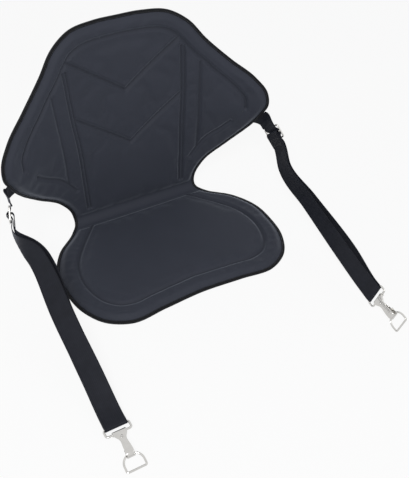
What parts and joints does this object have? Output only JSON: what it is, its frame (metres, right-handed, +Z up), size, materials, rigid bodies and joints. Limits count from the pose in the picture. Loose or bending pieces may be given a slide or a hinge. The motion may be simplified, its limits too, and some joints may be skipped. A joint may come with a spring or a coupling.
{
  "type": "kayak seat",
  "caption": "Moulded foam seat with a curved backrest, a bound edge and doubled webbing straps ending in sprung hooks with D-rings.",
  "frame": {"origin": "on the surface the seat rests on, under the middle of the whole footprint", "axes": "+Z up, -Y from the backrest to the front edge of the seat, +X to the right for a viewer who faces the seat's front"},
  "size_m": [0.588, 0.6125, 0.4268],
  "materials": {
    "pad_fabric": "fine dark fabric laminated on moulded foam",
    "binding_tape": "black woven binding tape",
    "webbing": "black woven webbing",
    "thread": "black sewing thread",
    "nickel": "bright nickel plate"
  },
  "bodies": {
    "seat": {"moulded_pad": "pad_fabric", "edge_binding": "binding_tape", "left_strap": "webbing", "right_strap": "webbing", "left_slider": "nickel", "right_slider": "nickel", "left_tab_stitching": "thread", "right_tab_stitching": "thread", "left_end_stitching": "thread", "right_end_stitching": "thread"},
    "left_ring": {"left_end_ring": "nickel"},
    "left_snap_hook": {"left_hook": "nickel", "left_rivet": "nickel"},
    "left_leaf_gate": {"left_gate": "nickel"},
    "left_dee": {"left_d_ring": "nickel"},
    "right_ring": {"right_end_ring": "nickel"},
    "right_snap_hook": {"right_hook": "nickel", "right_rivet": "nickel"},
    "right_leaf_gate": {"right_gate": "nickel"},
    "right_dee": {"right_d_ring": "nickel"}
  },
  "joints": [
    {"name": "left_ring_turn", "type": "hinge", "parent": "seat", "child": "left_ring", "pos_m": [-0.2681, -0.2249, 0.0105], "axis": [1, 0, 0], "range_deg": [-45, 45]},
    {"name": "left_hook_turn", "type": "hinge", "parent": "left_ring", "child": "left_snap_hook", "pos_m": [-0.2681, -0.2389, 0.0105], "axis": [1, 0, 0], "range_deg": [-80, 80]},
    {"name": "left_gate_press", "type": "hinge", "parent": "left_snap_hook", "child": "left_leaf_gate", "pos_m": [-0.2681, -0.2489, 0.01145], "axis": [-1, 0, 0], "range_deg": [0, 14], "stiffness_Nm_per_rad": 0.15},
    {"name": "left_dee_turn", "type": "hinge", "parent": "left_snap_hook", "child": "left_dee", "pos_m": [-0.2681, -0.2779, 0.00765], "axis": [1, 0, 0], "range_deg": [-80, 80]},
    {"name": "right_ring_turn", "type": "hinge", "parent": "seat", "child": "right_ring", "pos_m": [0.2615, -0.2044, 0.027], "axis": [0.3695, -0.1143, 0.9222], "range_deg": [-45, 45]},
    {"name": "right_hook_turn", "type": "hinge", "parent": "right_ring", "child": "right_snap_hook", "pos_m": [0.26037, -0.2183, 0.02573], "axis": [0.3695, -0.1143, 0.9222], "range_deg": [-80, 80]},
    {"name": "right_gate_press", "type": "hinge", "parent": "right_snap_hook", "child": "right_leaf_gate", "pos_m": [0.25869, -0.22818, 0.02518], "axis": [-0.3695, 0.1143, -0.9222], "range_deg": [0, 14], "stiffness_Nm_per_rad": 0.15},
    {"name": "right_dee_turn", "type": "hinge", "parent": "right_snap_hook", "child": "right_dee", "pos_m": [0.25987, -0.25712, 0.02112], "axis": [0.3695, -0.1143, 0.9222], "range_deg": [-80, 80]}
  ]
}
